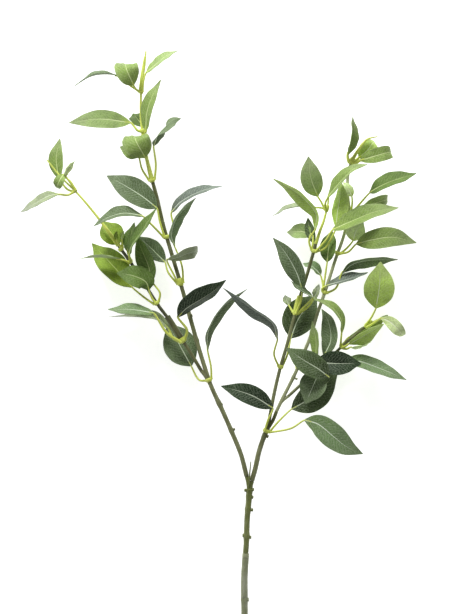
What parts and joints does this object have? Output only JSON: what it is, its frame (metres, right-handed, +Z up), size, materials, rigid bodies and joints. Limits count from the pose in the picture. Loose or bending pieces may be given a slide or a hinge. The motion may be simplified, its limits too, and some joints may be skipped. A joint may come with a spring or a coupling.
{
  "type": "artificial privet branch",
  "caption": "Artificial privet branch, lying down: forked plastic stems with moulded collars, thin curved stalks, pointed oval fabric leaves and yellow-green leader tips.",
  "frame": {"origin": "under the middle of the whole branch, on the surface that it lies on", "axes": "+Y runs up the branch from the cut end to the tips, +X to the right as seen from above, +Z up from the surface"},
  "size_m": [0.3964, 0.6342, 0.067],
  "materials": {
    "core_steel": "drawn wire",
    "sleeve_plastic": "dull grey-green",
    "ring_plastic": "pale, dull",
    "stem_plastic": "olive, satin",
    "branch_plastic": "dark olive-brown, satin",
    "leader_plastic": "yellow-green, satin",
    "leaf_fabric": "printed woven fabric with a soft sheen"
  },
  "bodies": {
    "root": {"core_wire": "core_steel", "lower_sleeve": "sleeve_plastic", "upper_sleeve": "sleeve_plastic", "sleeve_ring": "ring_plastic", "main_stem": "stem_plastic", "left_branch": "branch_plastic", "side_branch": "branch_plastic", "right_trunk": "branch_plastic", "right_branch_1": "branch_plastic", "right_branch_2": "branch_plastic", "right_branch_3": "branch_plastic", "left_leader": "leader_plastic", "side_leader": "leader_plastic", "right_leader_1": "leader_plastic", "right_leader_2": "leader_plastic", "right_leader_3": "leader_plastic", "leader_top_whorl": "leaf_fabric", "leader_middle_whorl": "leaf_fabric", "left_whorl_5": "leaf_fabric", "left_whorl_4": "leaf_fabric", "left_whorl_3": "leaf_fabric", "left_whorl_1": "leaf_fabric", "side_whorl_1": "leaf_fabric", "side_whorl_2": "leaf_fabric", "side_whorl_3": "leaf_fabric", "side_whorl_4": "leaf_fabric", "side_whorl_5": "leaf_fabric", "right_trunk_whorl": "leaf_fabric", "first_whorl_a": "leaf_fabric", "first_whorl_b": "leaf_fabric", "first_whorl_c": "leaf_fabric", "first_whorl_d": "leaf_fabric", "second_whorl_a": "leaf_fabric", "second_whorl_b": "leaf_fabric", "second_whorl_c": "leaf_fabric", "second_whorl_d": "leaf_fabric", "second_whorl_e": "leaf_fabric", "third_whorl_a": "leaf_fabric", "third_whorl_b": "leaf_fabric", "third_whorl_c": "leaf_fabric"}
  },
  "joints": []
}
